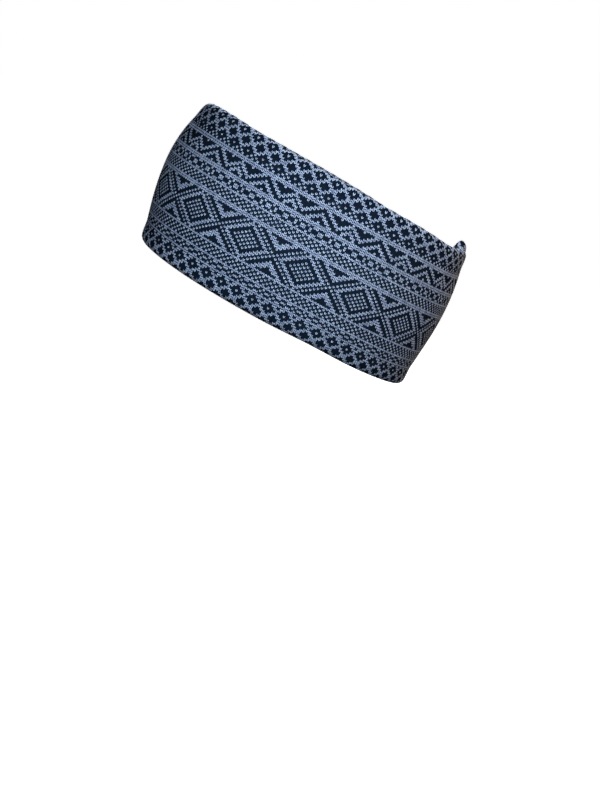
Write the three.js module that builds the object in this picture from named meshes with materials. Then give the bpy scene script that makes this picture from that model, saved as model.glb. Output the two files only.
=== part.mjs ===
// Ear warmer headband: one knitted tube, folded double into a band that goes round the head over the ears.
// Millimetres, +Z up with the head upright. The wearer faces -Y and the wearer's left is +X.
// The origin is the middle of the hollow that the head fills, on the ear-to-ear axis.
import * as THREE from "three";

// The band lies in its own plane, square to its axis, and the whole plane is tipped about X as it is worn.
const WEAR_TILT = THREE.MathUtils.degToRad(30.2);
const BAND_HEIGHT = 95.6;

// Two layers of stranded knit lie flat on each other, and swell into a soft roll at each folded rim.
const WALL = 4.6;
const FOLD_THICKNESS = 6.8;
const FOLD_REACH = 10;

// Outer half-sizes of the plan at heights above the middle of the band, from the lower rim to the upper one.
// Front is the forehead side, back the nape side and side the ear side.
const LEVELS = [
  { height: -47.8, front: 95.6, back: 94.8, side: 74.2 },
  { height: -36.0, front: 98.9, back: 95.4, side: 78.2 },
  { height: -20.0, front: 103.2, back: 96.3, side: 79.6 },
  { height: -5.0, front: 106.1, back: 96.8, side: 79.9 },
  { height: 12.0, front: 107.5, back: 95.9, side: 79.6 },
  { height: 30.0, front: 105.6, back: 92.8, side: 78.6 },
  { height: 47.8, front: 99.6, back: 87.6, side: 77.0 },
];

// The rims aren't quite level. Each wave is centred at an angle round the band in degrees, 0 at the near ear and
// a quarter turn at the nape. The first two make the sharp pucker of the upper rim at the nape.
const RIM_WAVES = [
  { rim: "upper", angle: 88.5, spread: 3.4, rise: 6.4 },
  { rim: "upper", angle: 98, spread: 12, rise: -4.4 },
  { rim: "upper", angle: 128, spread: 26, rise: -2.4 },
  { rim: "upper", angle: 50, spread: 16, rise: -1.8 },
  { rim: "upper", angle: -68, spread: 24, rise: 1.2 },
  { rim: "lower", angle: -45, spread: 36, rise: -0.8 },
  { rim: "lower", angle: 8, spread: 14, rise: 0.8 },
];
const FAR_SIDE_DROP = 1.8;
const RIM_MOVE_REACH = 26;

// Facets
const STEPS_AROUND = 88;
const STEPS_UP_OUTSIDE = 14;
const STEPS_UP_INSIDE = 12;
const STEPS_OVER_FOLD = 6;

const WOOL = new THREE.MeshStandardMaterial({ color: 0x55647a, roughness: 0.95, metalness: 0.0 });

const HALF_HEIGHT = BAND_HEIGHT / 2;
const FOLD_RADIUS = FOLD_THICKNESS / 2;
const FOLD_CENTRE = HALF_HEIGHT - FOLD_RADIUS;

const outline = new THREE.CubicInterpolant(
  LEVELS.map((level) => level.height),
  LEVELS.flatMap((level) => [level.front, level.back, level.side]),
  3,
);

// Half-sizes of the outer plan at one height
function planAt(height) {
  const [front, back, side] = outline.evaluate(THREE.MathUtils.clamp(height, -HALF_HEIGHT, HALF_HEIGHT));
  return { front, back, side };
}

// How far each face stands out where the wall swells into the roll of a fold
function swellAt(height) {
  const fromFold = FOLD_CENTRE - Math.abs(height);
  const share = 1 - THREE.MathUtils.smoothstep(fromFold, 0, FOLD_REACH);
  return share * (FOLD_RADIUS - WALL / 2);
}

// Cross-section of the folded tube as a closed loop of heights and depths, the depth counted inwards
function sectionOfBand() {
  const points = [];
  for (let step = 0; step < STEPS_UP_OUTSIDE; step += 1) {
    const height = THREE.MathUtils.lerp(-FOLD_CENTRE, FOLD_CENTRE, step / STEPS_UP_OUTSIDE);
    points.push({ height, depth: -swellAt(height) });
  }
  for (let step = 0; step < STEPS_OVER_FOLD; step += 1) {
    const turn = Math.PI * step / STEPS_OVER_FOLD;
    const height = FOLD_CENTRE + FOLD_RADIUS * Math.sin(turn);
    points.push({ height, depth: WALL / 2 - FOLD_RADIUS * Math.cos(turn) });
  }
  for (let step = 0; step < STEPS_UP_INSIDE; step += 1) {
    const height = THREE.MathUtils.lerp(FOLD_CENTRE, -FOLD_CENTRE, step / STEPS_UP_INSIDE);
    points.push({ height, depth: WALL + swellAt(height) });
  }
  for (let step = 0; step < STEPS_OVER_FOLD; step += 1) {
    const turn = Math.PI * step / STEPS_OVER_FOLD;
    const height = -FOLD_CENTRE - FOLD_RADIUS * Math.sin(turn);
    points.push({ height, depth: WALL / 2 + FOLD_RADIUS * Math.cos(turn) });
  }
  return points;
}

// Rise of one rim at one angle round the band: its waves, and the upper rim's drop on the far side
function rimRise(rim, angle) {
  let rise = 0;
  for (const wave of RIM_WAVES.filter((each) => each.rim === rim)) {
    const away = THREE.MathUtils.euclideanModulo(THREE.MathUtils.radToDeg(angle) - wave.angle + 180, 360) - 180;
    rise += wave.rise * Math.exp(-((away / wave.spread) ** 2));
  }
  const farSide = THREE.MathUtils.smoothstep(-Math.cos(angle), 0.05, 0.5);
  return rim === "upper" ? rise - FAR_SIDE_DROP * farSide : rise;
}

// One point of the surface, in the band's own plane
function pointOfBand(angle, { height, depth }) {
  const plan = planAt(height);
  const endwise = Math.sin(angle);
  const reach = endwise < 0 ? plan.front : plan.back;
  const share = THREE.MathUtils.smoothstep(Math.abs(height), HALF_HEIGHT - RIM_MOVE_REACH, HALF_HEIGHT);
  return new THREE.Vector3(
    (plan.side - depth) * Math.cos(angle),
    (reach - depth) * endwise,
    height + share * rimRise(height < 0 ? "lower" : "upper", angle),
  );
}

// Closed skin of the band: the section carried once round the head
function bandGeometry() {
  const section = sectionOfBand();
  const positions = [];
  const faces = [];
  for (let turn = 0; turn < STEPS_AROUND; turn += 1) {
    const angle = 2 * Math.PI * turn / STEPS_AROUND;
    const next = (turn + 1) % STEPS_AROUND;
    section.forEach((spot, index) => {
      positions.push(...pointOfBand(angle, spot).toArray());
      const after = (index + 1) % section.length;
      const here = turn * section.length;
      const there = next * section.length;
      faces.push(here + index, there + index, there + after);
      faces.push(here + index, there + after, here + after);
    });
  }
  const geometry = new THREE.BufferGeometry();
  geometry.setAttribute("position", new THREE.Float32BufferAttribute(positions, 3));
  geometry.setIndex(faces);
  geometry.computeVertexNormals();
  return geometry;
}

const knitBand = new THREE.Mesh(bandGeometry(), WOOL);
knitBand.name = "knit_band";

const headband = new THREE.Group();
headband.add(knitBand);
headband.rotation.x = -WEAR_TILT;

export default headband;
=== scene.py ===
"""Ear warmer headband in stranded knit: every stitch of its two yarns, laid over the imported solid.

Metres, +Z up with the head upright. The wearer faces -Y and the wearer's left is +X.
"""
import logging
import math
from dataclasses import dataclass
from enum import Enum
from functools import cached_property

import bpy
import numpy as np
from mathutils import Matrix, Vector


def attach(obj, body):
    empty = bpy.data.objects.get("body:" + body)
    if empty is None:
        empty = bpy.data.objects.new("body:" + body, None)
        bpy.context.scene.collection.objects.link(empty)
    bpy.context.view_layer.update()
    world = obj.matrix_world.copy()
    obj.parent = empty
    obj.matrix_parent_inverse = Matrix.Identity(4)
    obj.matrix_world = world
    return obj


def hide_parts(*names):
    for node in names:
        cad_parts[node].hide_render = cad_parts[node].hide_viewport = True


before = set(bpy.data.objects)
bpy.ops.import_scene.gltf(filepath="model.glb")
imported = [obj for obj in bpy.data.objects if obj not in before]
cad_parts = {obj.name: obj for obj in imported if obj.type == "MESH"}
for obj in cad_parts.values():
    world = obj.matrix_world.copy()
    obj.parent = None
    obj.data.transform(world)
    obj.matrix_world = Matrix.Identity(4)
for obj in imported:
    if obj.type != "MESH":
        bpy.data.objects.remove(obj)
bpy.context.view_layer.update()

LOG = logging.getLogger("headband")
MM = 0.001


class Yarn(Enum):
    """The two yarns of the pattern."""

    BLUE = "blue"
    NAVY = "navy"


# The band's form


@dataclass(frozen=True)
class Level:
    """Outer half-sizes of the band's plan at one height above its middle, in metres."""

    height: float
    front: float
    back: float
    side: float


@dataclass(frozen=True)
class RimWave:
    """A rise or dip of one rim, round one angle: the angle and spread in degrees, the rise in metres."""

    upper: bool
    angle: float
    spread: float
    rise: float


@dataclass(frozen=True)
class BandForm:
    """The worn shape of the folded tube, the same as the solid's.

    A place on it is an angle round the head, 0 at the wearer's left ear and a quarter turn at the nape,
    with a length along the closed cross-section. The first two rim waves make the pucker at the nape.
    """

    wear_tilt: float = math.radians(30.2)
    band_height: float = 95.6 * MM
    wall: float = 4.6 * MM
    fold_thickness: float = 6.8 * MM
    fold_reach: float = 10 * MM
    rim_waves: tuple[RimWave, ...] = (
        RimWave(True, 88.5, 3.4, 6.4 * MM),
        RimWave(True, 98, 12, -4.4 * MM),
        RimWave(True, 128, 26, -2.4 * MM),
        RimWave(True, 50, 16, -1.8 * MM),
        RimWave(True, -68, 24, 1.2 * MM),
        RimWave(False, -45, 36, -0.8 * MM),
        RimWave(False, 8, 14, 0.8 * MM),
    )
    far_side_drop: float = 1.8 * MM
    far_side: tuple[float, float] = (0.05, 0.5)
    rim_move_reach: float = 26 * MM
    section_steps: int = 240
    levels: tuple[Level, ...] = (
        Level(-47.8 * MM, 95.6 * MM, 94.8 * MM, 74.2 * MM),
        Level(-36.0 * MM, 98.9 * MM, 95.4 * MM, 78.2 * MM),
        Level(-20.0 * MM, 103.2 * MM, 96.3 * MM, 79.6 * MM),
        Level(-5.0 * MM, 106.1 * MM, 96.8 * MM, 79.9 * MM),
        Level(12.0 * MM, 107.5 * MM, 95.9 * MM, 79.6 * MM),
        Level(30.0 * MM, 105.6 * MM, 92.8 * MM, 78.6 * MM),
        Level(47.8 * MM, 99.6 * MM, 87.6 * MM, 77.0 * MM),
    )

    @property
    def half_height(self) -> float:
        """Half the band's height."""
        return self.band_height / 2

    @property
    def fold_radius(self) -> float:
        """Radius of the roll at each rim."""
        return self.fold_thickness / 2

    @property
    def fold_centre(self) -> float:
        """Height of the middle of the upper roll."""
        return self.half_height - self.fold_radius

    @staticmethod
    def smoothstep(value: np.ndarray, low: float, high: float) -> np.ndarray:
        """Soft step from 0 at low to 1 at high."""
        share = np.clip((value - low) / (high - low), 0.0, 1.0)
        return share * share * (3.0 - 2.0 * share)

    def swell(self, height: np.ndarray) -> np.ndarray:
        """How far each face stands out near a rim, where the wall swells into its roll."""
        from_fold = self.fold_centre - np.abs(height)
        return (1.0 - self.smoothstep(from_fold, 0.0, self.fold_reach)) * (self.fold_radius - self.wall / 2)

    @cached_property
    def section(self) -> np.ndarray:
        """The closed cross-section: from the lower rim up the outside, and down the inside.

        Returns:
            An array of rows (length along the section, height, depth), the depth counted inwards.
        """
        steps = self.section_steps
        rising = np.linspace(-self.fold_centre, self.fold_centre, steps)
        quarter = np.linspace(0.0, math.pi / 2, steps // 4)
        lower = np.stack([
            -self.fold_centre - self.fold_radius * np.cos(quarter),
            self.wall / 2 - self.fold_radius * np.sin(quarter),
        ], 1)
        outside = np.stack([rising, -self.swell(rising)], 1)
        turn = np.linspace(0.0, math.pi, steps // 2)
        upper = np.stack([
            self.fold_centre + self.fold_radius * np.sin(turn),
            self.wall / 2 - self.fold_radius * np.cos(turn),
        ], 1)
        inside = np.stack([rising[::-1], self.wall + self.swell(rising)[::-1]], 1)
        under = np.stack([
            -self.fold_centre - self.fold_radius * np.sin(quarter),
            self.wall / 2 + self.fold_radius * np.cos(quarter),
        ], 1)
        path = np.concatenate([lower, outside[1:], upper[1:], inside[1:], under[1:]])
        step = np.linalg.norm(np.diff(path, axis=0), axis=1)
        length = np.concatenate([[0.0], np.cumsum(step)])
        return np.column_stack([length, path])

    @property
    def section_length(self) -> float:
        """Length right round the cross-section."""
        return float(self.section[-1, 0])

    @cached_property
    def outer_length(self) -> float:
        """Length of the outer face from the lower rim's lowest point to the upper rim's top."""
        top = int(np.argmax(self.section[:, 1]))
        return float(self.section[top, 0])

    @cached_property
    def _heights(self) -> np.ndarray:
        """Heights of the levels."""
        return np.array([level.height for level in self.levels])

    @cached_property
    def _sizes(self) -> np.ndarray:
        """The three half-sizes at each level, one level a row."""
        return np.array([[level.front, level.back, level.side] for level in self.levels])

    @cached_property
    def _slopes(self) -> np.ndarray:
        """Slopes of the three half-sizes at each level, for the cubic curve through them."""
        return np.gradient(self._sizes, self._heights, axis=0, edge_order=2)

    def plan(self, height: np.ndarray) -> np.ndarray:
        """Outer half-sizes (front, back, side) of the plan at each height, on a smooth curve."""
        heights, sizes = self._heights, self._sizes
        at = np.clip(height, heights[0], heights[-1])
        low = np.clip(np.searchsorted(heights, at, side="right") - 1, 0, len(heights) - 2)
        span = heights[low + 1] - heights[low]
        share = ((at - heights[low]) / span)[:, None]
        slope_low = self._slopes[low] * span[:, None]
        slope_high = self._slopes[low + 1] * span[:, None]
        return (
            (1 + 2 * share) * (1 - share) ** 2 * sizes[low]
            + share * (1 - share) ** 2 * slope_low
            + share ** 2 * (3 - 2 * share) * sizes[low + 1]
            + share ** 2 * (share - 1) * slope_high
        )

    def rim_rise(self, upper: np.ndarray, angle: np.ndarray) -> np.ndarray:
        """Rise of a rim at each angle: its waves, and the upper rim's drop on the far side."""
        far_side = self.smoothstep(-np.cos(angle), *self.far_side)
        rise = np.where(upper, -self.far_side_drop * far_side, 0.0)
        for wave in self.rim_waves:
            away = np.mod(np.degrees(angle) - wave.angle + 180.0, 360.0) - 180.0
            rise += np.where(upper == wave.upper, wave.rise * np.exp(-(away / wave.spread) ** 2), 0.0)
        return rise

    def point(self, angle: np.ndarray, along: np.ndarray, inset: float = 0.0) -> np.ndarray:
        """Points of the worn surface.

        Args:
            angle: angles round the head, in radians from -pi to pi.
            along: lengths along the cross-section, any turn of it.
            inset: how far the points lie under the surface.

        Returns:
            An array of points, one a row.
        """
        length = np.mod(along, self.section_length)
        height = np.interp(length, self.section[:, 0], self.section[:, 1])
        depth = np.interp(length, self.section[:, 0], self.section[:, 2])
        point = self._place(angle, height, depth)
        if inset:
            point = point - inset * self.normal(angle, along)
        return point

    def _place(self, angle: np.ndarray, height: np.ndarray, depth: np.ndarray) -> np.ndarray:
        """Points at given angles, heights and depths, tipped as the band is worn."""
        plan = self.plan(height)
        endwise = np.sin(angle)
        reach = np.where(endwise < 0, plan[:, 0], plan[:, 1])
        share = self.smoothstep(np.abs(height), self.half_height - self.rim_move_reach, self.half_height)
        across = (plan[:, 2] - depth) * np.cos(angle)
        ahead = (reach - depth) * endwise
        up = height + share * self.rim_rise(height >= 0.0, angle)
        cos_tilt, sin_tilt = math.cos(self.wear_tilt), math.sin(self.wear_tilt)
        return np.stack([across, ahead * cos_tilt + up * sin_tilt, up * cos_tilt - ahead * sin_tilt], 1)

    def directions(self, angle: np.ndarray, along: np.ndarray) -> tuple[np.ndarray, np.ndarray]:
        """Unit directions round the head and up the outer face at each place."""
        turn, step = 1e-3, 0.2 * MM
        around = self.point(angle + turn, along) - self.point(angle - turn, along)
        upward = self.point(angle, along + step) - self.point(angle, along - step)
        around /= np.linalg.norm(around, axis=1, keepdims=True)
        upward /= np.linalg.norm(upward, axis=1, keepdims=True)
        return around, upward

    def normal(self, angle: np.ndarray, along: np.ndarray) -> np.ndarray:
        """Outward unit normals at each place."""
        around, upward = self.directions(angle, along)
        normal = np.cross(around, upward)
        return normal / np.linalg.norm(normal, axis=1, keepdims=True)


# The pattern


@dataclass(frozen=True)
class KnitGrid:
    """The grid of stitches: columns share the loop equally, and courses share the outer face equally."""

    form: BandForm
    columns: int = 300
    first_column: float = -7.5
    top_course: float = -43.5
    bottom_course: float = 29.0
    around_steps: int = 1440
    ear_column: float = 16.0
    ear_stretch: float = 1.25
    slip_column: float = 42.0
    slip_spread: float = 20.0
    slip_courses: tuple[float, float] = (6.0, 24.0)
    rim_slip: float = 2.2

    @property
    def course_height(self) -> float:
        """Height of one course on the outer face."""
        return self.form.outer_length / (self.bottom_course - self.top_course)

    @cached_property
    def _loop(self) -> tuple[np.ndarray, np.ndarray]:
        """Angles, and lengths round the loop at mid height counted from the wearer's left ear."""
        angle = np.linspace(-math.pi, math.pi, self.around_steps + 1)
        middle = np.full_like(angle, self.form.outer_length / 2)
        points = self.form.point(angle, middle)
        step = np.linalg.norm(np.diff(points, axis=0), axis=1)
        length = np.concatenate([[0.0], np.cumsum(step)])
        return angle, length - np.interp(0.0, angle, length)

    @cached_property
    def stitch_width(self) -> float:
        """Width of one stitch at mid height."""
        _, length = self._loop
        return float(length[-1] - length[0]) / self.columns

    def angle_of(self, column: np.ndarray, course: np.ndarray) -> np.ndarray:
        """Angle round the head of each stitch, where column 0 is the middle of a diamond.

        The cloth is stretched over the ear, and towards the upper rim its columns lean to the nape.

        Args:
            column: columns, counted towards the nape.
            course: courses, negative above the middle.

        Returns:
            Angles in radians from -pi to pi.
        """
        angle, length = self._loop
        total = length[-1] - length[0]
        stretch = self.ear_stretch * np.sin(2.0 * math.pi * (column - self.ear_column) / self.columns)
        away = np.mod(column - self.slip_column + self.columns / 2, self.columns) - self.columns / 2
        slip = self.rim_slip * np.exp(-(away / self.slip_spread) ** 2)
        slip = slip * self.form.smoothstep(-course, *self.slip_courses)
        at = (self.first_column + column + stretch + slip) * self.stitch_width
        at = (at - length[0]) % total + length[0]
        return np.interp(at, length, angle)

    def along_of(self, course: np.ndarray) -> np.ndarray:
        """Length along the section of each course, counted up from the lower rim."""
        return (self.bottom_course - course) * self.course_height

    @cached_property
    def section_courses(self) -> int:
        """Whole courses right round the folded tube."""
        return round(self.form.section_length / self.course_height)


class Motif(Enum):
    """What one run of courses shows."""

    PLAIN = "plain"
    FLOWERS = "flowers"
    FLOWER_EDGE = "flower edge"
    CHECKS = "checks"
    SHIFTED_CHECKS = "checks, one stitch along"
    ZIGZAGS = "zigzags"
    PEBBLE_EDGE = "pebble edge"
    PEBBLE_MIDDLE = "pebble middle"
    DIAMONDS = "diamonds"


@dataclass(frozen=True)
class Run:
    """A run of courses with one motif, from its first to its last."""

    first: int
    last: int
    motif: Motif


@dataclass(frozen=True)
class Chart:
    """The knitting chart, counted in courses down from the middle of the diamonds.

    Columns count towards the nape. A stitch that isn't blue is navy.
    """

    runs: tuple[Run, ...] = (
        Run(-47, -33, Motif.FLOWERS),
        Run(-32, -32, Motif.FLOWER_EDGE),
        Run(-31, -31, Motif.SHIFTED_CHECKS),
        Run(-30, -29, Motif.PLAIN),
        Run(-28, -22, Motif.ZIGZAGS),
        Run(-21, -20, Motif.PLAIN),
        Run(-19, -19, Motif.PEBBLE_EDGE),
        Run(-18, -17, Motif.PEBBLE_MIDDLE),
        Run(-16, -16, Motif.PEBBLE_EDGE),
        Run(-15, -15, Motif.PLAIN),
        Run(-14, -11, Motif.CHECKS),
        Run(-10, -9, Motif.PLAIN),
        Run(-8, 8, Motif.DIAMONDS),
        Run(9, 9, Motif.PLAIN),
        Run(10, 13, Motif.SHIFTED_CHECKS),
        Run(14, 14, Motif.PLAIN),
        Run(15, 15, Motif.PEBBLE_EDGE),
        Run(16, 16, Motif.PEBBLE_MIDDLE),
        Run(17, 17, Motif.PEBBLE_EDGE),
        Run(18, 18, Motif.PLAIN),
        Run(19, 32, Motif.FLOWERS),
    )
    diamond_repeat: int = 20
    check_reach: int = 4
    diamond_rings: frozenset[int] = frozenset({7, 8, 10})
    ground_reach: int = 13
    triangle_top: int = 6
    triangle_starts: tuple[int, ...] = (10, 9, 7)
    flower_repeat: int = 6
    flower_middle: int = 2
    flower_courses: tuple[int, ...] = (-47, -40, -33, 21, 28)
    pebble_repeat: int = 12
    pebble_dark: frozenset[int] = frozenset({0, 3, 5, 6, 8, 11})
    zigzag_middle: int = -3
    zigzag_top: int = -28
    zigzag_dark: tuple[frozenset[int], ...] = (
        frozenset({0, 3, 4, 5, 7, 8, 9}),
        frozenset({0, 1, 4, 5, 6, 7, 8}),
        frozenset({1, 2, 5, 6, 7, 10}),
        frozenset({2, 3, 6, 9}),
        frozenset({0, 3, 4, 8}),
        frozenset({0, 1, 4, 5, 7, 10}),
        frozenset({1, 2, 5, 6, 7, 9, 10}),
    )

    @staticmethod
    def folded(column: np.ndarray, repeat: int) -> np.ndarray:
        """Distance from the nearest middle of a repeat."""
        part = np.mod(column, repeat)
        return np.minimum(part, repeat - part)

    def flowers(self, column: np.ndarray, course: int) -> np.ndarray:
        """One course of the stacked rows of large flowers, with small ones between them."""
        half = self.flower_repeat // 2
        from_large = self.folded(column - self.flower_middle, self.flower_repeat)
        from_small = self.folded(column - self.flower_middle - half, self.flower_repeat)
        away = min(abs(course - middle) for middle in self.flower_courses)
        if away == 0:
            return (from_large == 0) | (from_large == half)
        if away == 1:
            return from_large > 1
        if away == 2:
            return (from_large != 0) & (from_large != half)
        return from_small > 1

    def flower_edge(self, column: np.ndarray) -> np.ndarray:
        """The last course under the upper flowers, with two blue stitches in each repeat."""
        return self.folded(column - self.flower_middle, self.flower_repeat) == 2

    def pebbles(self, column: np.ndarray) -> np.ndarray:
        """Which stitches are navy in the edge courses of the pebbles, and blue in their middle ones."""
        return np.isin(np.mod(column, self.pebble_repeat), list(self.pebble_dark))

    def zigzags(self, column: np.ndarray, course: int) -> np.ndarray:
        """One course of the zigzags."""
        away = self.folded(column - self.zigzag_middle, self.diamond_repeat)
        return ~np.isin(away, list(self.zigzag_dark[course - self.zigzag_top]))

    def diamonds(self, column: np.ndarray, course: int) -> np.ndarray:
        """One course of the big diamonds and the triangles between them."""
        across = self.folded(column, self.diamond_repeat)
        down = abs(course)
        reach = across + down
        checks = (reach <= self.check_reach) & (reach % 2 == 0)
        rings = np.isin(reach, list(self.diamond_rings)) | (reach >= self.ground_reach)
        blue = checks | rings
        if down >= self.triangle_top:
            blue = blue & (across < self.triangle_starts[down - self.triangle_top])
        return blue

    def is_blue(self, column: np.ndarray, course: int) -> np.ndarray:
        """Which stitches of one course are blue.

        Args:
            column: whole column numbers.
            course: the course, negative above the middle.

        Returns:
            An array of truth values, one a column.
        """
        motif = next(run.motif for run in self.runs if run.first <= course <= run.last)
        if motif is Motif.FLOWERS:
            return self.flowers(column, course)
        if motif is Motif.FLOWER_EDGE:
            return self.flower_edge(column)
        if motif is Motif.CHECKS:
            return np.mod(column + course, 2) == 1
        if motif is Motif.SHIFTED_CHECKS:
            return np.mod(column + course, 2) == 0
        if motif is Motif.ZIGZAGS:
            return self.zigzags(column, course)
        if motif is Motif.PEBBLE_EDGE:
            return ~self.pebbles(column)
        if motif is Motif.PEBBLE_MIDDLE:
            return self.pebbles(column)
        if motif is Motif.DIAMONDS:
            return self.diamonds(column, course)
        return np.ones(column.shape, bool)


# Finishes


@dataclass(frozen=True)
class WoolFinish:
    """Matt wool: a mottled colour, a soft sheen and fine loose fibres.

    The colour runs from dark to pale by the wool's own mottle and by the tone of each stitch. Felting turns
    the shading from the yarn's round side towards the flat of the cloth.
    """

    name: str
    dark: tuple[float, float, float]
    pale: tuple[float, float, float]
    roughness: float = 0.92
    sheen: float = 0.25
    sheen_roughness: float = 0.55
    specular: float = 0.1
    felting: float = 0.85
    mottle_scale: float = 900.0
    mottle_detail: float = 2.0
    mottle_share: float = 0.40
    tone_share: float = 0.60
    fibre_scale: float = 2600.0
    fibre_detail: float = 3.0
    fibre_depth: float = 0.03 * MM
    fibre_strength: float = 0.8

    def material(self) -> bpy.types.Material:
        """Builds the material.

        Returns:
            A node material that reads object coordinates and the stitch's own tone.
        """
        material = bpy.data.materials.new(self.name)
        material.use_nodes = True
        tree = material.node_tree
        nodes, links = tree.nodes, tree.links
        nodes.clear()
        output = nodes.new("ShaderNodeOutputMaterial")
        shader = nodes.new("ShaderNodeBsdfPrincipled")
        shader.inputs["Roughness"].default_value = self.roughness
        shader.inputs["Sheen Weight"].default_value = self.sheen
        shader.inputs["Sheen Roughness"].default_value = self.sheen_roughness
        shader.inputs["Specular IOR Level"].default_value = self.specular
        coords = nodes.new("ShaderNodeTexCoord")
        links.new(self._colour(tree, coords.outputs["Object"]), shader.inputs["Base Color"])
        links.new(self._facing(tree, coords.outputs["Object"]), shader.inputs["Normal"])
        links.new(shader.outputs["BSDF"], output.inputs["Surface"])
        return material

    @staticmethod
    def _noise(tree: bpy.types.NodeTree, coords: bpy.types.NodeSocket,
               scale: float, detail: float) -> bpy.types.NodeSocket:
        """Adds a noise over the object and returns its value."""
        noise = tree.nodes.new("ShaderNodeTexNoise")
        noise.inputs["Scale"].default_value = scale
        noise.inputs["Detail"].default_value = detail
        tree.links.new(coords, noise.inputs["Vector"])
        return noise.outputs["Fac"]

    def _colour(self, tree: bpy.types.NodeTree, coords: bpy.types.NodeSocket) -> bpy.types.NodeSocket:
        """Adds the mottled colour and returns it."""
        nodes, links = tree.nodes, tree.links
        tone = nodes.new("ShaderNodeAttribute")
        tone.attribute_name = "tone"
        share = nodes.new("ShaderNodeMath")
        share.operation = "MULTIPLY"
        share.inputs[1].default_value = self.tone_share
        links.new(tone.outputs["Fac"], share.inputs[0])
        blend = nodes.new("ShaderNodeMath")
        blend.operation = "MULTIPLY_ADD"
        blend.inputs[1].default_value = self.mottle_share
        links.new(self._noise(tree, coords, self.mottle_scale, self.mottle_detail), blend.inputs[0])
        links.new(share.outputs["Value"], blend.inputs[2])
        colour = nodes.new("ShaderNodeMix")
        colour.data_type = "RGBA"
        colour.inputs["A"].default_value = (*self.dark, 1.0)
        colour.inputs["B"].default_value = (*self.pale, 1.0)
        links.new(blend.outputs["Value"], colour.inputs["Factor"])
        return colour.outputs["Result"]

    def _facing(self, tree: bpy.types.NodeTree, coords: bpy.types.NodeSocket) -> bpy.types.NodeSocket:
        """Adds the way that the shading faces, roughened by fibres, and returns it."""
        nodes, links = tree.nodes, tree.links
        yarn_side = nodes.new("ShaderNodeNewGeometry")
        cloth_side = nodes.new("ShaderNodeAttribute")
        cloth_side.attribute_name = "outward"
        felted = nodes.new("ShaderNodeMix")
        felted.data_type = "VECTOR"
        felted.inputs["Factor"].default_value = self.felting
        links.new(yarn_side.outputs["Normal"], felted.inputs["A"])
        links.new(cloth_side.outputs["Vector"], felted.inputs["B"])
        facing = nodes.new("ShaderNodeVectorMath")
        facing.operation = "NORMALIZE"
        links.new(felted.outputs["Result"], facing.inputs[0])
        bump = nodes.new("ShaderNodeBump")
        bump.inputs["Distance"].default_value = self.fibre_depth
        bump.inputs["Strength"].default_value = self.fibre_strength
        links.new(self._noise(tree, coords, self.fibre_scale, self.fibre_detail), bump.inputs["Height"])
        links.new(facing.outputs["Vector"], bump.inputs["Normal"])
        return bump.outputs["Normal"]


BLUE_WOOL = WoolFinish("blue_wool", (0.130, 0.175, 0.310), (0.565, 0.735, 1.0), sheen=0.03)
# The outer navy is the yarn's own dark navy, darkened further as painted shade for the shade between the
# pale stitches; the lining below is the same yarn.
DARKENED_NAVY_WOOL = WoolFinish(
    "navy_wool", (0.003, 0.006, 0.012), (0.007, 0.014, 0.028), sheen=0.0, specular=0.0,
)
# The lining is the same navy yarn, paler than the outer navy: partly its own colour and partly lifted as
# painted light for the dimly lit inside.
LINING_WOOL = WoolFinish(
    "navy_wool_inside", (0.010, 0.018, 0.036), (0.034, 0.056, 0.100), sheen=0.12, felting=0.35,
)


@dataclass(frozen=True)
class PlainFinish:
    """A plain matt surface round the object."""

    name: str
    colour: tuple[float, float, float]
    roughness: float = 0.9
    glow: float = 0.0

    def material(self) -> bpy.types.Material:
        """Builds the material."""
        material = bpy.data.materials.new(self.name)
        material.use_nodes = True
        shader = material.node_tree.nodes["Principled BSDF"]
        shader.inputs["Base Color"].default_value = (*self.colour, 1.0)
        shader.inputs["Roughness"].default_value = self.roughness
        shader.inputs["Specular IOR Level"].default_value = 0.0
        shader.inputs["Emission Color"].default_value = (1.0, 1.0, 1.0, 1.0)
        shader.inputs["Emission Strength"].default_value = self.glow
        return material


# The stitches


@dataclass(frozen=True)
class YarnSpot:
    """One point of a stitch's yarn, in shares of the stitch, and its share of the yarn's thickness."""

    across: float
    upward: float
    outward: float
    thickness: float


@dataclass(frozen=True)
class StitchShape:
    """One stitch as a V of yarn: rises in shares of the course height, all else in shares of its width."""

    foot_drop: float = 0.56
    head_rise: float = 0.62
    head_spread: float = 0.29
    belly_rise: float = 0.06
    belly_spread: float = 0.19
    yarn_share: float = 0.152
    foot_depth: float = 0.08
    belly_height: float = 0.03
    head_depth: float = 0.12
    foot_thickness: float = 0.60
    head_thickness: float = 0.60
    bellied: bool = True

    def spots(self) -> list[YarnSpot]:
        """The points of the yarn from one head of the V through its foot to the other head."""
        head = (self.head_rise, -self.head_depth, self.head_thickness)
        belly = (self.belly_rise, self.belly_height, 1.0)
        foot = YarnSpot(0.0, -self.foot_drop, -self.foot_depth, self.foot_thickness)
        if not self.bellied:
            return [YarnSpot(-self.head_spread, *head), foot, YarnSpot(self.head_spread, *head)]
        return [
            YarnSpot(-self.head_spread, *head),
            YarnSpot(-self.belly_spread, *belly),
            foot,
            YarnSpot(self.belly_spread, *belly),
            YarnSpot(self.head_spread, *head),
        ]


NodeValue = bpy.types.NodeSocket | float


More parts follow.
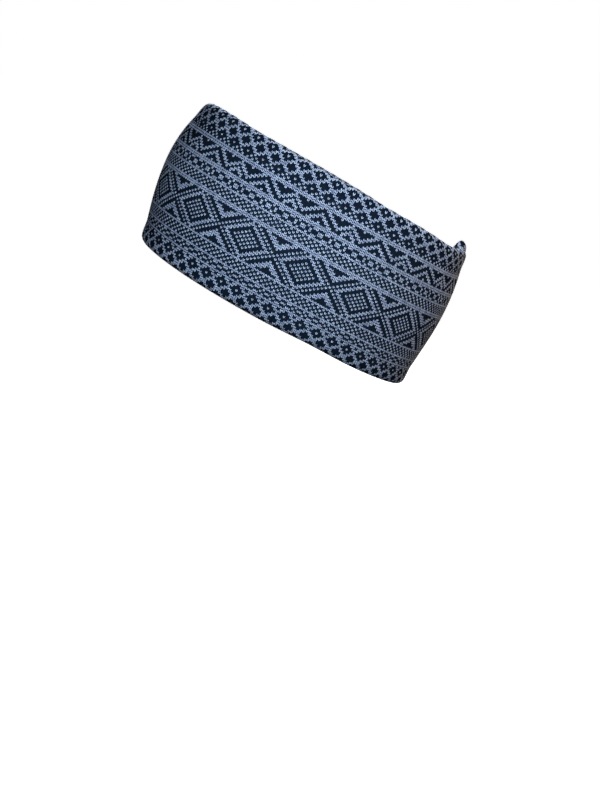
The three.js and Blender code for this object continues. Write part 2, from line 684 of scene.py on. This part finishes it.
class StitchField:
    """Geometry Nodes tree that sets one V of yarn on each point of a piece of knitting.

    Each stitch is turned at random by up to the lean limits times the wobble, in radians about its own axes.
    """

    WOBBLE = 0.12
    LEAN_LIMITS = (0.5, 0.5, 1.0)

    def __init__(self, name: str, shape: StitchShape, seed: int) -> None:
        """Builds the tree.

        Args:
            name: the tree's name.
            shape: the stitch.
            seed: the seed of the wobble from stitch to stitch.
        """
        self.shape = shape
        self.seed = seed
        self.tree = bpy.data.node_groups.new(name, "GeometryNodeTree")
        self._build()

    def _input(self, name: str, kind: str, value: float | None = None) -> None:
        """Adds one named input."""
        socket = self.tree.interface.new_socket(name=name, in_out="INPUT", socket_type=kind)
        if value is not None:
            socket.default_value = value

    def _feed(self, node: bpy.types.Node, values: tuple[NodeValue, ...]) -> None:
        """Gives a node its first inputs, each a link or a number."""
        for index, value in enumerate(values):
            if isinstance(value, (int, float)):
                node.inputs[index].default_value = value
            else:
                self.tree.links.new(value, node.inputs[index])

    def _times(self, first: NodeValue, second: NodeValue) -> bpy.types.NodeSocket:
        """Adds a product and returns it."""
        node = self.tree.nodes.new("ShaderNodeMath")
        node.operation = "MULTIPLY"
        self._feed(node, (first, second))
        return node.outputs["Value"]

    def _vector(self, across: NodeValue, upward: NodeValue, outward: NodeValue) -> bpy.types.NodeSocket:
        """Adds a vector from three links or numbers and returns it."""
        node = self.tree.nodes.new("ShaderNodeCombineXYZ")
        self._feed(node, (across, upward, outward))
        return node.outputs["Vector"]

    def _attribute(self, name: str) -> bpy.types.NodeSocket:
        """Adds a named vector attribute and returns its value."""
        node = self.tree.nodes.new("GeometryNodeInputNamedAttribute")
        node.data_type = "FLOAT_VECTOR"
        node.inputs["Name"].default_value = name
        return node.outputs["Attribute"]

    def _yarn(self, width: NodeValue, course: NodeValue, sides: NodeValue) -> bpy.types.NodeSocket:
        """Adds one V of yarn, a closed tube that is thinner at its foot and heads.

        Args:
            width: the width of a stitch.
            course: the height of a course.
            sides: the number of sides of the yarn.

        Returns:
            The V as a mesh.
        """
        nodes, links, shape = self.tree.nodes, self.tree.links, self.shape
        spots = shape.spots()
        line = nodes.new("GeometryNodeMeshLine")
        line.inputs["Count"].default_value = len(spots)
        index = nodes.new("GeometryNodeInputIndex")
        placed = nodes.new("GeometryNodeIndexSwitch")
        placed.data_type = "VECTOR"
        thickness = nodes.new("GeometryNodeIndexSwitch")
        thickness.data_type = "FLOAT"
        while len(placed.index_switch_items) < len(spots):
            placed.index_switch_items.new()
            thickness.index_switch_items.new()
        links.new(index.outputs["Index"], placed.inputs["Index"])
        links.new(index.outputs["Index"], thickness.inputs["Index"])
        for number, spot in enumerate(spots, start=1):
            place = self._vector(
                self._times(width, spot.across),
                self._times(course, spot.upward),
                self._times(width, spot.outward),
            )
            links.new(place, placed.inputs[number])
            thickness.inputs[number].default_value = spot.thickness
        move = nodes.new("GeometryNodeSetPosition")
        links.new(line.outputs["Mesh"], move.inputs["Geometry"])
        links.new(placed.outputs["Output"], move.inputs["Position"])
        curve = nodes.new("GeometryNodeMeshToCurve")
        links.new(move.outputs["Geometry"], curve.inputs["Mesh"])
        radius = nodes.new("GeometryNodeSetCurveRadius")
        links.new(curve.outputs["Curve"], radius.inputs["Curve"])
        links.new(thickness.outputs["Output"], radius.inputs["Radius"])
        upright = nodes.new("GeometryNodeSetCurveNormal")
        upright.mode = "Z_UP"
        links.new(radius.outputs["Curve"], upright.inputs["Curve"])
        ring = nodes.new("GeometryNodeCurvePrimitiveCircle")
        links.new(sides, ring.inputs["Resolution"])
        links.new(self._times(width, shape.yarn_share), ring.inputs["Radius"])
        tube = nodes.new("GeometryNodeCurveToMesh")
        tube.inputs["Fill Caps"].default_value = True
        links.new(upright.outputs["Curve"], tube.inputs["Curve"])
        links.new(ring.outputs["Curve"], tube.inputs["Profile Curve"])
        if "Scale" in tube.inputs:
            radius_in = nodes.new("GeometryNodeInputRadius")
            links.new(radius_in.outputs["Radius"], tube.inputs["Scale"])
        smooth = nodes.new("GeometryNodeSetShadeSmooth")
        links.new(tube.outputs["Mesh"], smooth.inputs["Geometry"])
        return smooth.outputs["Geometry"]

    def _build(self) -> None:
        """Joins up the tree: a V of yarn on each point, turned to the cloth and wobbled a little."""
        tree = self.tree
        nodes, links = tree.nodes, tree.links
        self._input("Geometry", "NodeSocketGeometry")
        self._input("Stitch Width", "NodeSocketFloat", 1.9 * MM)
        self._input("Course Height", "NodeSocketFloat", 1.4 * MM)
        self._input("Yarn Sides", "NodeSocketInt", 3)
        self._input("Wobble", "NodeSocketFloat", self.WOBBLE)
        self._input("Seed", "NodeSocketInt", self.seed)
        self._input("Material", "NodeSocketMaterial")
        tree.interface.new_socket(name="Geometry", in_out="OUTPUT", socket_type="NodeSocketGeometry")
        given = nodes.new("NodeGroupInput")
        result = nodes.new("NodeGroupOutput")

        turn = nodes.new("FunctionNodeAxesToRotation")
        turn.primary_axis = "Z"
        turn.secondary_axis = "X"
        links.new(self._attribute("outward"), turn.inputs["Primary Axis"])
        links.new(self._attribute("around"), turn.inputs["Secondary Axis"])

        lean = nodes.new("FunctionNodeRandomValue")
        lean.data_type = "FLOAT_VECTOR"
        lean.inputs["Min"].default_value = tuple(-limit for limit in self.LEAN_LIMITS)
        lean.inputs["Max"].default_value = self.LEAN_LIMITS
        links.new(given.outputs["Seed"], lean.inputs["Seed"])
        scaled = nodes.new("ShaderNodeVectorMath")
        scaled.operation = "SCALE"
        links.new(lean.outputs["Value"], scaled.inputs[0])
        links.new(given.outputs["Wobble"], scaled.inputs["Scale"])
        to_turn = nodes.new("FunctionNodeEulerToRotation")
        links.new(scaled.outputs["Vector"], to_turn.inputs["Euler"])
        both = nodes.new("FunctionNodeRotateRotation")
        both.rotation_space = "LOCAL"
        links.new(turn.outputs["Rotation"], both.inputs["Rotation"])
        links.new(to_turn.outputs["Rotation"], both.inputs["Rotate By"])

        place = nodes.new("GeometryNodeInstanceOnPoints")
        links.new(given.outputs["Geometry"], place.inputs["Points"])
        yarn = self._yarn(
            given.outputs["Stitch Width"], given.outputs["Course Height"], given.outputs["Yarn Sides"]
        )
        links.new(yarn, place.inputs["Instance"])
        links.new(both.outputs["Rotation"], place.inputs["Rotation"])
        links.new(self._attribute("gauge"), place.inputs["Scale"])

        realize = nodes.new("GeometryNodeRealizeInstances")
        links.new(place.outputs["Instances"], realize.inputs["Geometry"])
        dress = nodes.new("GeometryNodeSetMaterial")
        links.new(realize.outputs["Geometry"], dress.inputs["Geometry"])
        links.new(given.outputs["Material"], dress.inputs["Material"])
        links.new(dress.outputs["Geometry"], result.inputs["Geometry"])

    def knit(self, name: str, points: "StitchPoints", material: bpy.types.Material,
             width: float, course: float, sides: int) -> bpy.types.Object:
        """Knits one piece.

        Args:
            name: the piece's name.
            points: where its stitches sit.
            material: its yarn.
            width: the width of a stitch.
            course: the height of a course.
            sides: the number of sides of the yarn.

        Returns:
            The piece as a plain mesh object.
        """
        source = points.mesh_object(name)
        modifier = source.modifiers.new("stitches", "NODES")
        modifier.node_group = self.tree
        values = {
            "Stitch Width": width, "Course Height": course, "Yarn Sides": sides,
            "Wobble": self.WOBBLE, "Seed": self.seed, "Material": material,
        }
        for item in self.tree.interface.items_tree:
            if item.item_type == "SOCKET" and item.in_out == "INPUT" and item.name in values:
                modifier[item.identifier] = values[item.name]
        depsgraph = bpy.context.evaluated_depsgraph_get()
        mesh = bpy.data.meshes.new_from_object(source.evaluated_get(depsgraph), depsgraph=depsgraph)
        source.modifiers.remove(modifier)
        bare = source.data
        source.data = mesh
        bpy.data.meshes.remove(bare)
        mesh.name = name
        return source


@dataclass
class StitchPoints:
    """Places, directions, sizes and tones of the stitches of one piece."""

    place: np.ndarray
    around: np.ndarray
    outward: np.ndarray
    gauge: np.ndarray
    tone: np.ndarray

    def mesh_object(self, name: str) -> bpy.types.Object:
        """Puts the places in a mesh of loose points that carry the rest as attributes."""
        mesh = bpy.data.meshes.new(name + "_points")
        mesh.from_pydata(self.place.tolist(), [], [])
        for key in ("around", "outward", "gauge"):
            attribute = mesh.attributes.new(key, "FLOAT_VECTOR", "POINT")
            attribute.data.foreach_set("vector", getattr(self, key).astype(np.float32).ravel())
        attribute = mesh.attributes.new("tone", "FLOAT", "POINT")
        attribute.data.foreach_set("value", self.tone.astype(np.float32))
        thing = bpy.data.objects.new(name, mesh)
        bpy.context.scene.collection.objects.link(thing)
        return thing


# The sub-assemblies


@dataclass
class KnitCore:
    """The closed body of cloth under the stitches: the floats of navy yarn between the two layers, in the
    darkened navy, so that where it shows between stitches it is partly painted shade.
    """

    form: BandForm
    finish: WoolFinish
    inset: float = 0.32 * MM
    tone: float = 0.2
    steps_around: int = 240
    steps_section: int = 120

    def build(self) -> bpy.types.Object:
        """Makes the closed skin of the band, a little under the solid's surface."""
        angle = np.linspace(-math.pi, math.pi, self.steps_around, endpoint=False)
        along = np.linspace(0.0, self.form.section_length, self.steps_section, endpoint=False)
        grid_angle, grid_along = np.meshgrid(angle, along, indexing="ij")
        points = self.form.point(grid_angle.ravel(), grid_along.ravel(), self.inset)
        faces = []
        for turn in range(self.steps_around):
            after = (turn + 1) % self.steps_around
            for spot in range(self.steps_section):
                above = (spot + 1) % self.steps_section
                here, there = turn * self.steps_section, after * self.steps_section
                faces.append((here + spot, there + spot, there + above, here + above))
        mesh = bpy.data.meshes.new("knit_core")
        mesh.from_pydata(points.tolist(), [], faces)
        mesh.shade_smooth()
        attribute = mesh.attributes.new("tone", "FLOAT", "POINT")
        attribute.data.foreach_set("value", np.full(len(points), self.tone, np.float32))
        mesh.materials.append(self.finish.material())
        core = bpy.data.objects.new("knit_core", mesh)
        bpy.context.scene.collection.objects.link(core)
        return core


@dataclass(frozen=True)
class Panel:
    """A run of courses that is knitted as one piece in each yarn."""

    name: str
    first: int
    last: int


@dataclass
class PatternedFace:
    """The outer layer of the band, in both yarns, from just inside one rim to just inside the other.

    A stitch widens by the merging share for each neighbour of its own yarn, and is paler the fewer it has.
    """

    grid: KnitGrid
    chart: Chart
    blue: WoolFinish
    navy: WoolFinish
    seed: int = 41
    yarn_sides: int = 3
    sink: float = 0.30 * MM
    merging: float = 0.17
    alone_paler: float = 0.30
    panels: tuple[Panel, ...] = (
        Panel("upper_flowers", -47, -31),
        Panel("zigzags", -30, -20),
        Panel("pebbles", -19, -9),
        Panel("diamonds", -8, 8),
        Panel("lower_checks", 9, 18),
        Panel("lower_flowers", 19, 32),
    )

    def points(self, panel: Panel, yarn: Yarn) -> StitchPoints:
        """Finds the stitches of one yarn in one panel, each spread towards neighbours of its own yarn."""
        columns, courses, before, after = [], [], [], []
        for course in range(panel.first, panel.last + 1):
            column = np.arange(self.grid.columns)
            blue = self.chart.is_blue(column, course)
            own = blue if yarn is Yarn.BLUE else ~blue
            columns.append(column[own])
            courses.append(np.full(int(own.sum()), course))
            before.append(np.roll(own, 1)[own])
            after.append(np.roll(own, -1)[own])
        made = stitch_points(
            self.grid, np.concatenate(columns), np.concatenate(courses), self.sink, self.seed,
        )
        left, right = (np.concatenate(part).astype(float) for part in (before, after))
        made.gauge[:, 0] *= 1.0 + self.merging * (left + right)
        shift = (right - left) * self.merging / 3 * self.grid.stitch_width
        made.place += shift[:, None] * made.around
        alone = 1.0 - (left + right) / 2
        made.tone = (1.0 - self.alone_paler) * made.tone + self.alone_paler * alone
        return made

    def build(self) -> list[bpy.types.Object]:
        """Knits each panel in each yarn."""
        field = StitchField("pattern_stitches", StitchShape(), self.seed)
        pieces = []
        for yarn, finish in ((Yarn.BLUE, self.blue), (Yarn.NAVY, self.navy)):
            material = finish.material()
            for panel in self.panels:
                pieces.append(field.knit(
                    f"{panel.name}_{yarn.value}", self.points(panel, yarn), material,
                    self.grid.stitch_width, self.grid.course_height, self.yarn_sides,
                ))
        return pieces


@dataclass
class PlainFace:
    """The inner layer of the band, all navy, against the head.

    Its courses go on from the pattern's last one, up the inside to the course above the pattern's first one.
    """

    grid: KnitGrid
    finish: WoolFinish
    seed: int = 43
    yarn_sides: int = 3
    sink: float = 0.24 * MM
    first: int = 33
    above_pattern: int = -48
    pieces: int = 2

    def build(self) -> list[bpy.types.Object]:
        """Knits the inner layer in a few pieces, each a run of courses."""
        last = self.grid.section_courses + self.above_pattern
        shape = StitchShape(
            foot_depth=0.0, head_depth=0.06, foot_thickness=0.85, head_thickness=0.85, bellied=False,
        )
        field = StitchField("plain_stitches", shape, self.seed)
        material = self.finish.material()
        bounds = np.linspace(self.first, last + 1, self.pieces + 1).astype(int)
        made = []
        for number, (low, high) in enumerate(zip(bounds[:-1], bounds[1:])):
            course, column = np.meshgrid(np.arange(low, high), np.arange(self.grid.columns), indexing="ij")
            points = stitch_points(self.grid, column.ravel(), course.ravel(), self.sink, self.seed + number)
            made.append(field.knit(
                f"inner_layer_{number + 1}", points, material,
                self.grid.stitch_width, self.grid.course_height, self.yarn_sides,
            ))
        return made


def stitch_points(grid: KnitGrid, column: np.ndarray, course: np.ndarray,
                  sink: float, seed: int) -> StitchPoints:
    """Places stitches on the band.

    Args:
        grid: the grid of stitches.
        column: the column of each stitch.
        course: the course of each stitch.
        sink: how far their middles lie under the surface.
        seed: the seed of their tones.

    Returns:
        Their places, directions, sizes and tones.
    """
    angle = grid.angle_of(column, course)
    along = grid.along_of(course)
    form = grid.form
    around, upward = form.directions(angle, along)
    outward = form.normal(angle, along)
    next_over = form.point(grid.angle_of(column + 0.5, course), along)
    last_over = form.point(grid.angle_of(column - 0.5, course), along)
    width = np.linalg.norm(next_over - last_over, axis=1)
    gauge = np.ones((len(column), 3))
    gauge[:, 0] = width / grid.stitch_width
    tone = np.random.default_rng(seed).random(len(column))
    return StitchPoints(form.point(angle, along, sink), around, outward, gauge, tone)


@dataclass(frozen=True)
class Lamp:
    """A soft round light that faces the band: its power in watts, and the angle that its grid lets out."""

    name: str
    place: tuple[float, float, float]
    size: float
    power: float
    colour: tuple[float, float, float]
    spread: float = math.pi

    def hang(self) -> bpy.types.Object:
        """Hangs the light and returns it."""
        data = bpy.data.lights.new(self.name, "AREA")
        data.shape = "DISK"
        data.size = self.size
        data.energy = self.power
        data.color = self.colour
        data.spread = self.spread
        lamp = bpy.data.objects.new(self.name, data)
        lamp.location = self.place
        lamp.rotation_euler = Vector(self.place).to_track_quat("Z", "Y").to_euler()
        lamp.visible_camera = False
        bpy.context.scene.collection.objects.link(lamp)
        return lamp


@dataclass
class Studio:
    """A plain pale floor and backdrop, soft lights, and the camera at the photograph's angle."""

    azimuth: float = math.radians(81.095)
    pitch: float = math.radians(15.004)
    eye: tuple[float, float, float] = (1.0308, -0.1681, 0.1788)
    lens: float = 74.36
    sensor_height: float = 36.0
    clip_start: float = 0.05
    clip_end: float = 20.0
    floor_drop: float = -0.290
    floor_half: float = 6.0
    floor_finish: PlainFinish = PlainFinish("floor_white", (0.80, 0.80, 0.80), glow=0.97)
    backdrop_colour: tuple[float, float, float] = (1.0, 1.0, 1.0)
    backdrop_strength: float = 1.0
    room_colour: tuple[float, float, float] = (0.93, 0.96, 1.0)
    room_strength: float = 0.05
    lamps: tuple[Lamp, ...] = (
        Lamp("key_light", (0.38, -0.055, 0.095), 0.16, 0.315, (0.93, 0.97, 1.0), math.radians(67)),
        Lamp("far_light", (-0.80, 0.0, 0.35), 0.5, 8.0, (0.97, 0.985, 1.0)),
        Lamp("warm_light", (0.28, 0.77, 0.30), 0.5, 3.2, (1.0, 0.62, 0.38)),
        Lamp("hollow_light", (0.0, 0.17, 0.29), 0.10, 1.1, (1.0, 0.98, 0.95)),
    )

    def camera(self) -> bpy.types.Object:
        """Sets the camera."""
        data = bpy.data.cameras.new("camera")
        data.sensor_fit = "VERTICAL"
        data.sensor_height = self.sensor_height
        data.lens = self.lens
        data.clip_start = self.clip_start
        data.clip_end = self.clip_end
        camera = bpy.data.objects.new("camera", data)
        back = Vector((
            math.sin(self.azimuth) * math.cos(self.pitch),
            -math.cos(self.azimuth) * math.cos(self.pitch),
            math.sin(self.pitch),
        ))
        camera.location = self.eye
        camera.rotation_euler = back.to_track_quat("Z", "Y").to_euler()
        bpy.context.scene.collection.objects.link(camera)
        bpy.context.scene.camera = camera
        return camera

    def floor(self) -> bpy.types.Object:
        """Lays a wide pale floor."""
        mesh = bpy.data.meshes.new("floor")
        half = self.floor_half
        corners = [(-half, -half), (half, -half), (half, half), (-half, half)]
        mesh.from_pydata([(x, y, self.floor_drop) for x, y in corners], [], [(0, 1, 2, 3)])
        mesh.materials.append(self.floor_finish.material())
        floor = bpy.data.objects.new("floor", mesh)
        floor.visible_diffuse = False
        bpy.context.scene.collection.objects.link(floor)
        return floor

    def world(self) -> None:
        """Sets the plain white backdrop, which lights the band less than it shows."""
        world = bpy.data.worlds.new("backdrop")
        world.use_nodes = True
        nodes, links = world.node_tree.nodes, world.node_tree.links
        nodes.clear()
        output = nodes.new("ShaderNodeOutputWorld")
        mix = nodes.new("ShaderNodeMixShader")
        seen = nodes.new("ShaderNodeLightPath")
        backdrop = nodes.new("ShaderNodeBackground")
        backdrop.inputs["Color"].default_value = (*self.backdrop_colour, 1.0)
        backdrop.inputs["Strength"].default_value = self.backdrop_strength
        room = nodes.new("ShaderNodeBackground")
        room.inputs["Color"].default_value = (*self.room_colour, 1.0)
        room.inputs["Strength"].default_value = self.room_strength
        links.new(seen.outputs["Is Camera Ray"], mix.inputs["Fac"])
        links.new(room.outputs["Background"], mix.inputs[1])
        links.new(backdrop.outputs["Background"], mix.inputs[2])
        links.new(mix.outputs["Shader"], output.inputs["Surface"])
        bpy.context.scene.world = world

    def build(self) -> None:
        """Sets up the whole studio."""
        self.camera()
        self.world()
        self.floor()
        bpy.context.scene.view_settings.view_transform = "Standard"
        for lamp in self.lamps:
            lamp.hang()


def dress(piece: bpy.types.Object, slot: str) -> None:
    """Makes a piece ride with the band and stand for its solid."""
    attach(piece, "root")
    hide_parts("knit_band")


def main() -> None:
    """Builds the headband and its studio."""
    logging.basicConfig(level=logging.INFO, format="%(name)s: %(message)s")
    Studio().build()
    form = BandForm()
    grid = KnitGrid(form)
    core = KnitCore(form, DARKENED_NAVY_WOOL).build()
    dress(core, "navy_wool")
    LOG.info("knit_core: %d faces", len(core.data.polygons))
    stitches = []
    for piece in PatternedFace(grid, Chart(), BLUE_WOOL, DARKENED_NAVY_WOOL).build():
        dress(piece, "blue_wool" if piece.name.endswith(Yarn.BLUE.value) else "navy_wool")
        stitches.append(piece)
    for piece in PlainFace(grid, LINING_WOOL).build():
        dress(piece, "navy_wool")
        stitches.append(piece)
    for piece in stitches:
        triangles = sum(len(face.vertices) - 2 for face in piece.data.polygons)
        LOG.info("%s: %d triangles", piece.name, triangles)


if __name__ == "__main__":
    main()
